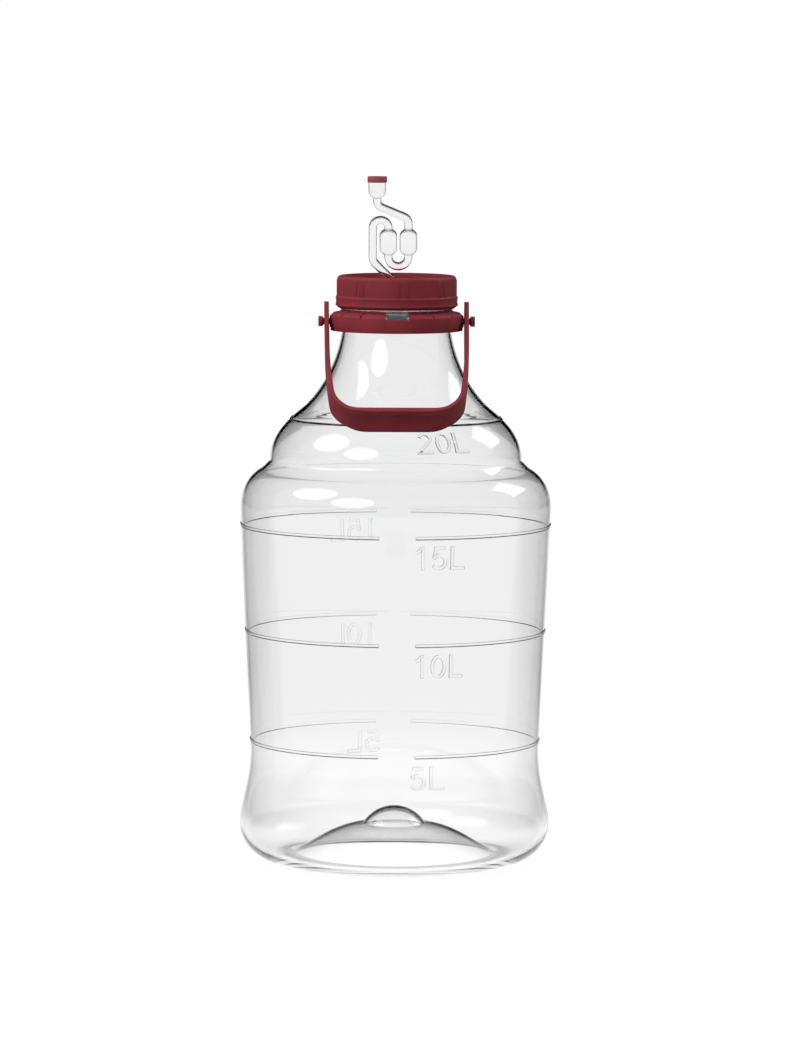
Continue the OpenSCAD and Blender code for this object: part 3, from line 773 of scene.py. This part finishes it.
# Ways along and radii of a stretch that swells from the tube
def swelling(radius, height):
    a = airlock
    return [(p.y, p.x) for p in curvePoints((a["r"], 0), (radius, height), *a["swellCurve"])]


def airlockStretches():
    a = airlock
    lean = math.radians(a["slant"])
    slantL = (a["uprightX"] - 2 * a["slantBendR"] * (1 - math.cos(lean))) / math.sin(lean)
    foot = swelling(a["chamberR"], a["endH"])
    chamber = foot + [(a["chamberH"] - along, r) for along, r in reversed(foot)]
    cupTop = a["cupFootH"] + a["cupH"]
    rimR = a["cupR"] - a["step"]
    cup = swelling(a["cupR"], a["cupFootH"]) + [
        (cupTop - a["stepH"] / 2, a["cupR"]), (cupTop + a["stepH"] / 2, rimR), (cupTop + a["rimH"], rimR)]
    return [
        (0, a["stemL"], None), (a["slantBendR"], -a["slant"], None), (0, slantL, None),
        (a["slantBendR"], a["slant"], None), (0, a["uprightL"], None), (a["upperBendR"], 180, None),
        (0, a["lead"], None), (0, a["chamberH"], chamber), (0, a["lead"], None),
        (a["lowerBendR"], -180, None), (0, a["lead"], None), (0, a["chamberH"], chamber),
        (0, a["lead"] + a["sLead"], None),
        (a["sBendR"], -a["sTurn"], None), (0, a["sMiddle"], None), (a["sBendR"], a["sTurn"], None),
        (0, a["sTail"], None), (0, cupTop + a["rimH"], cup)]


# Points (x, z, radius) of the airlock's way: a stretch is a bend (radius, turn) or straight (0, length)
def airlockWay():
    a = airlock
    here, lean = Vector((0, a["bottom"])), 0
    shares = [k / a["straightSteps"] for k in range(1, a["straightSteps"] + 1)]
    points = [(here.x, here.y, a["r"])]
    for radius, amount, swell in airlockStretches():
        forward = Vector((math.sin(lean), math.cos(lean)))
        if radius:
            side = 1 if amount > 0 else -1
            turn = math.radians(abs(amount))
            centre = here + Vector((forward.y, -forward.x)) * side * radius
            steps = max(a["bendLeast"], round(abs(amount) / a["bendStep"]))
            for k in range(1, steps + 1):
                now = lean + side * turn * k / steps
                out = Vector((math.cos(now), -math.sin(now))) * -side
                points.append((*(centre + out * radius), a["r"]))
            here = Vector(points[-1][:2])
            lean += side * turn
            continue
        for along, r in swell or [(amount * share, a["r"]) for share in shares]:
            points.append((*(here + forward * along), r))
        here = here + forward * amount
    return [p for i, p in enumerate(points) if not i or math.dist(p[:2], points[i - 1][:2]) > a["least"]]


def makeAirlock():
    a = airlock
    way = airlockWay()
    line = bpy.data.curves.new("airlockWay", "CURVE")
    line.dimensions = "3D"
    spline = line.splines.new("POLY")
    spline.points.add(len(way) - 1)
    for point, (x, z, r) in zip(spline.points, way):
        point.co = (x * mm, 0, z * mm, 1)
        point.radius = r
    base = bpy.data.objects.new("airlockWay", line)
    sizes = {"Around": a["around"], "Unit": mm}
    tree, given = newTree("tubeAlongWay", sizes)
    ring = addNode(tree, "GeometryNodeCurvePrimitiveCircle", None,
                   {"Resolution": given.out("Around"), "Radius": given.out("Unit")}).out()
    radius = addNode(tree, "GeometryNodeInputRadius").out()
    tube = addNode(tree, "GeometryNodeCurveToMesh", None,
                   {"Curve": given.out("Geometry"), "Profile Curve": ring, "Scale": radius}).out()
    endTree(tree, given, tube)
    piece = runTree("airlockTube", tree, sizes, clearTube, base)
    wall = piece.modifiers.new("wall", "SOLIDIFY")
    wall.thickness = a["wall"] * mm
    wall.offset = -1
    return applied(piece)


airlockTube = makeAirlock()
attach(airlockTube, "airlock")
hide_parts("airlock")
print("airlock made")

# The airlock's cap
cap = {
    "x": -17.4, "bottom": 594.2, "boreR": 7.56, "r": 8.51, "h": 5.4, "inside": 4.1, "edge": 0.5,
    "cornerSteps": 4, "columns": 96,
}


def makeCap():
    a = cap
    corners = [(a["boreR"], 0), (a["r"], 0, a["edge"] / 2), (a["r"], a["h"], a["edge"]), (0, a["h"]),
               (0, a["inside"]), (a["boreR"], a["inside"], a["edge"])]
    piece = turnedPiece("capShell", roundedOutline(corners, a["cornerSteps"]), a["columns"], capPlastic)
    piece.data.transform(Matrix.Translation((a["x"] * mm, 0, a["bottom"] * mm)))
    return piece


capShell = makeCap()
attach(capShell, "cap")
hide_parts("airlock_cap")
print("cap made")


# How solids are copied: what is merged, how level faces are that join, which edges are rounded
copying = {
    "merge": 0.01, "level": 0.6, "sharp": 30, "limit": 35, "segments": 2, "collar": 0.35, "handle": 0.2,
}


# A merged copy of a solid with its sharp edges rounded
def roundedCopy(node, name, material, width):
    c = copying
    source = nodes[node]
    mesh = source.data.copy()
    mesh.transform(source.matrix_world)
    work = bmesh.new()
    work.from_mesh(mesh)
    bmesh.ops.remove_doubles(work, verts=work.verts, dist=c["merge"] * mm)
    bmesh.ops.dissolve_limit(work, angle_limit=math.radians(c["level"]), verts=work.verts, edges=work.edges)
    work.to_mesh(mesh)
    work.free()
    piece = bevelled(settledPiece(name, mesh, material, c["sharp"]), width, c["segments"], c["limit"])
    shadeOver(piece.data, c["limit"])
    return piece


# The handle's grip and corners, hanging straight down from the pivot
handle = {
    "pivotH": 473.5, "l": 131.4, "t": 4, "w": 21.6, "half": 25, "cornerR": 31.6, "roundR": 1,
    "extra": 1.2, "blend": 1.2, "flare": 1.4, "flareFrom": 31, "flareTo": 47,
    "scoop": 2, "scoopHalf": 41, "scoopR": 19.06, "scoopSoft": 0.3,
    "cutTurn": 66, "overlap": 0.8, "under": 0.02, "step": 1, "across": 24, "cornerSteps": 5, "sharp": 35,
}


# The smaller of two values, rounded over where they meet
def softSmaller(a, b, blend):
    share = max(blend - abs(a - b), 0) / blend
    return min(a, b) - blend * share * share / 4


# Points round the strap's section at a way along from the grip's middle, a hair thinner past the cut
def gripSection(along, cut):
    h = handle
    side, way = math.copysign(1, along), abs(along)
    turn = max(0, way - h["half"]) / h["cornerR"]
    under = h["under"] if way > cut else 0
    fade = shareBetween(way, h["flareFrom"], h["flareTo"])
    half = h["w"] / 2 + h["flare"] * (1 - fade * fade * (3 - 2 * fade)) - under - h["roundR"]
    outer = h["cornerR"] + h["t"] / 2 - under
    plain = h["cornerR"] - h["t"] / 2 + under
    inner = softSmaller(plain, (plain - h["extra"]) / math.cos(turn), h["blend"])
    points = []
    for i in range(h["across"] + 1):
        y = half * (2 * i / h["across"] - 1)
        rise = y * y / (2 * h["scoopR"]) - h["scoop"] * (1 - (way / h["scoopHalf"]) ** 2)
        points.append((outer + softSmaller(rise, 0, h["scoopSoft"]), y))
    for radius, y, start in ((outer - h["roundR"], half, 90), (inner + h["roundR"], half, 0),
                             (inner + h["roundR"], -half, -90), (outer - h["roundR"], -half, -180)):
        for k in range(h["cornerSteps"] + 1):
            angle = math.radians(start - 90 * k / h["cornerSteps"])
            points.append((radius + h["roundR"] * math.sin(angle), y + h["roundR"] * math.cos(angle)))
    return [Vector((side * (min(way, h["half"]) + radius * math.sin(turn)), y,
                    h["cornerR"] - h["l"] - radius * math.cos(turn))) for radius, y in points[:-1]]


# The arms stay as they are, and the corners and the grip are swept anew, with one even edge
def sweptGrip(piece):
    h = handle
    flat = max(piece.data.polygons, key=lambda face: face.area).normal
    rest = Matrix.Rotation(-math.atan2(flat.y, flat.z), 4, "X")
    hung = Matrix.Translation((0, 0, h["pivotH"] * mm)) @ rest @ Matrix.Scale(mm, 4)
    turn = math.radians(h["cutTurn"])
    cut = h["half"] + h["cornerR"] * turn
    parts = []
    for side in (-1, 1):
        middle = hung @ Vector((side * h["half"], 0, h["cornerR"] - h["l"]))
        upwards = (hung.to_3x3() @ Vector((side * math.cos(turn), 0, math.sin(turn)))).normalized()
        arm = bmesh.new()
        arm.from_mesh(piece.data)
        for place, normal in (((0, 0, 0), (side, 0, 0)), (middle, upwards)):
            everything = [*arm.verts, *arm.edges, *arm.faces]
            bmesh.ops.bisect_plane(arm, geom=everything, plane_co=place, plane_no=normal, clear_inner=True)
        bmesh.ops.holes_fill(arm, edges=[edge for edge in arm.edges if edge.is_boundary])
        mesh = bpy.data.meshes.new("arm")
        arm.to_mesh(mesh)
        arm.free()
        parts.append(bpy.data.objects.new("arm", mesh))
    count = math.ceil(cut / h["step"])
    ways = [cut * i / count for i in range(-count, count + 1)]
    ways = [-cut - h["overlap"], -cut - h["under"], *ways, cut + h["under"], cut + h["overlap"]]
    vertices = [hung @ point for way in ways for point in gripSection(way, cut)]
    faces = rowFaces(len(ways), len(vertices) // len(ways))
    parts.append(finishMesh("grip", vertices, faces, maroonPlastic, h["sharp"]))
    return joinedPiece("handleStrap", parts, maroonPlastic, h["sharp"])


collarShell = roundedCopy("neck_collar", "collarShell", maroonPlastic, copying["collar"])
plainHandle = roundedCopy("bail_handle", "plainHandle", maroonPlastic, copying["handle"])
handleStrap = sweptGrip(plainHandle)
bpy.data.objects.remove(plainHandle)
for piece, body, node in ((collarShell, "bottle", "neck_collar"), (handleStrap, "handle", "bail_handle")):
    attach(piece, body)
    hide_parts(node)
for node, material in (("lid_gasket", gasketFoam), ("airlock_grommet", blackRubber)):
    nodes[node].data.materials.clear()
    nodes[node].data.materials.append(material)
print("collar and handle made")

# Pale floor that keeps the shadow, white further out. Clear things see it bright but for two dark flags and
# a painted contact shadow ring round the foot
stage = {
    "floorR": 40, "floorSides": 128, "near": (0.12, 0.3), "seen": (0.86, 0.86, 0.86),
    "unseen": (0.16, 0.15, 0.15), "own": 0.92, "glow": 1.16, "glowEnd": (0.3, 0.9), "side": 0.3,
    "sideNear": 0.75, "sideFade": (0.3, 1.2), "sideEnd": (3.2, 6.5), "paintedShadowRingIn": (0.0855, 0.088),
    "paintedShadowRingOut": (0.1, 0.106), "paintedShadowRing": 0.42,
}
room = {
    "behind": (0.0126, 0.9999, 0), "behindFrom": 0.90, "behindTo": 0.985, "flagFrom": 0.42, "flagEnd": 0.26,
    "bright": 0.92, "side": 0.03, "ceilingFrom": -0.05, "ceilingTo": 0.06, "plain": 0.45, "above": 1.1,
}


# A direction laid flat on the floor, of length 1
def laidFlat(tree, direction):
    flat = addNode(tree, "ShaderNodeVectorMath", {"operation": "MULTIPLY"}, [direction, (1, 1, 0)]).out()
    return addNode(tree, "ShaderNodeVectorMath", {"operation": "NORMALIZE"}, [flat]).out()


# Brightness of the surroundings for clear and glossy things, towards a direction: a bright backdrop stands
# behind the object, with a dark flag at each of its sides, and what is seen through past the flags is bright
def surroundings(tree, direction, side, through):
    towards = addNode(tree, "ShaderNodeVectorMath", {"operation": "DOT_PRODUCT"},
                      [laidFlat(tree, direction), room["behind"]]).out("Value")
    past = spread(tree, towards, room["flagEnd"], room["flagFrom"], room["bright"], 0) * through
    behind = spread(tree, towards, room["behindFrom"], room["behindTo"], side, room["bright"])
    return behind.math("MAXIMUM", past)


def makeFloor():
    bpy.ops.mesh.primitive_circle_add(
        vertices=stage["floorSides"], radius=stage["floorR"], fill_type="NGON", location=(0, 0, 0))
    floor = bpy.context.object
    floor.name = "floor"
    material, tree = newMaterial("paleFloor")
    place = addNode(tree, "ShaderNodeTexCoord").out("Object")
    away = addNode(tree, "ShaderNodeVectorMath", {"operation": "LENGTH"}, [place]).out("Value")
    path = addNode(tree, "ShaderNodeLightPath")
    camera = path.out("Is Camera Ray")
    through = path.out("Is Transmission Ray")
    near = spread(tree, away, *stage["near"], 1, 0)
    side = (spread(tree, away, *stage["sideFade"], stage["sideNear"], stage["side"])
            * spread(tree, away, *stage["sideEnd"], 1, 0))
    # A painted contact shadow: a darker ring round the foot, which only reflections and rays through clear
    # things see
    paintedShadowRing = (spread(tree, away, *stage["paintedShadowRingIn"], 0, stage["paintedShadowRing"])
             * spread(tree, away, *stage["paintedShadowRingOut"], 1, 0))
    level = near + (1 - near) * surroundings(tree, place, side, through)
    bright = spread(tree, away, *stage["glowEnd"], stage["glow"], 1) * (1 - paintedShadowRing)
    glow = camera + (1 - camera) * level * bright
    seen = (camera + through + path.out("Is Glossy Ray")).math("MINIMUM", 1.0)
    matt = addNode(tree, "ShaderNodeBsdfDiffuse", None,
                   {"Color": mixColour(tree, seen, stage["unseen"], stage["seen"])}).out()
    white = addNode(tree, "ShaderNodeEmission", None, {"Color": (1, 1, 1, 1), "Strength": glow}).out()
    mask = seen * (stage["own"] + (1 - stage["own"]) * (1 - near))
    addNode(tree, "ShaderNodeOutputMaterial", None,
            {"Surface": addNode(tree, "ShaderNodeMixShader", None, [mask, matt, white]).out()})
    floor.data.materials.append(material)


# The room: bright behind the object, dim at its sides and dark above for clear and glossy things
def makeRoom():
    world = bpy.data.worlds.new("room")
    scene.world = world
    world.use_nodes = True
    tree = world.node_tree
    tree.nodes.clear()
    place = addNode(tree, "ShaderNodeTexCoord").out("Generated")
    parts = addNode(tree, "ShaderNodeSeparateXYZ", None, [place])
    path = addNode(tree, "ShaderNodeLightPath")
    through = path.out("Is Transmission Ray")
    ceiling = spread(tree, parts.out("Z"), room["ceilingFrom"], room["ceilingTo"], 1, 0)
    mirrored = surroundings(tree, place, room["side"], through) * ceiling
    plain = spread(tree, parts.out("Z"), 0, 1, room["plain"], room["above"])
    clear = (path.out("Is Glossy Ray") + through).math("MINIMUM", 1.0)
    camera = path.out("Is Camera Ray")
    level = camera + (1 - camera) * (clear * mirrored + (1 - clear) * plain)
    light = addNode(tree, "ShaderNodeBackground", None, {"Color": (1, 1, 1, 1), "Strength": level}).out()
    addNode(tree, "ShaderNodeOutputWorld", None, {"Surface": light})


# Softboxes, placed as the highlights on the shoulders say: azimuth from the front to the right, elevation
softboxes = (
    {"name": "left", "azimuth": -80, "elevation": 42, "size": 1.7, "height": 1.5, "shape": "ELLIPSE"},
    {"name": "frontLeft", "azimuth": -36, "elevation": 31, "size": 1.55, "height": 1.45, "shape": "ELLIPSE"},
    {"name": "right", "azimuth": 117, "elevation": 34, "size": 1.1, "height": 1.1, "shape": "RECTANGLE"},
)
lighting = {"aim": (0, 0, 0.36), "distance": 3.2, "layers": (1.12, 1.0, 0.88), "glow": 2.3}


# A softbox is a few lamps of one shape, smaller and smaller, so that its mirrored edge is soft
def makeSoftbox(box):
    azimuth, elevation = math.radians(box["azimuth"]), math.radians(box["elevation"])
    away = Vector((math.sin(azimuth) * math.cos(elevation), -math.cos(azimuth) * math.cos(elevation),
                   math.sin(elevation)))
    for share in lighting["layers"]:
        lamp = bpy.data.lights.new(box["name"], "AREA")
        lamp.shape = box["shape"]
        lamp.size = box["size"] * share
        lamp.size_y = box["height"] * share
        area = lamp.size * lamp.size_y * (math.pi / 4 if box["shape"] == "ELLIPSE" else 1)
        lamp.energy = lighting["glow"] * area * math.pi
        rig = bpy.data.objects.new(box["name"], lamp)
        rig.location = Vector(lighting["aim"]) + away * lighting["distance"]
        rig.rotation_euler = away.to_track_quat("Z", "Y").to_euler()
        scene.collection.objects.link(rig)


# The camera stands 5 m away at the height that the ellipses of the rings and the lid give
view = {
    "lens": 195.4, "sensor": 36, "reach": 100,
    "place": (-0.0627, -4.9876, 0.760), "aim": (0.00035, 0, 0.2927), "roll": 0.28,
}


def makeCamera():
    data = bpy.data.cameras.new("camera")
    data.lens = view["lens"]
    data.sensor_width = view["sensor"]
    data.clip_end = view["reach"]
    camera = bpy.data.objects.new("camera", data)
    camera.location = view["place"]
    way = Vector(view["aim"]) - Vector(view["place"])
    turn = way.to_track_quat("-Z", "Y").to_matrix() @ Matrix.Rotation(math.radians(view["roll"]), 3, "Z")
    camera.rotation_euler = turn.to_euler()
    scene.collection.objects.link(camera)
    scene.camera = camera


makeFloor()
makeRoom()
for box in softboxes:
    makeSoftbox(box)
makeCamera()
print("stage, lights and camera made")
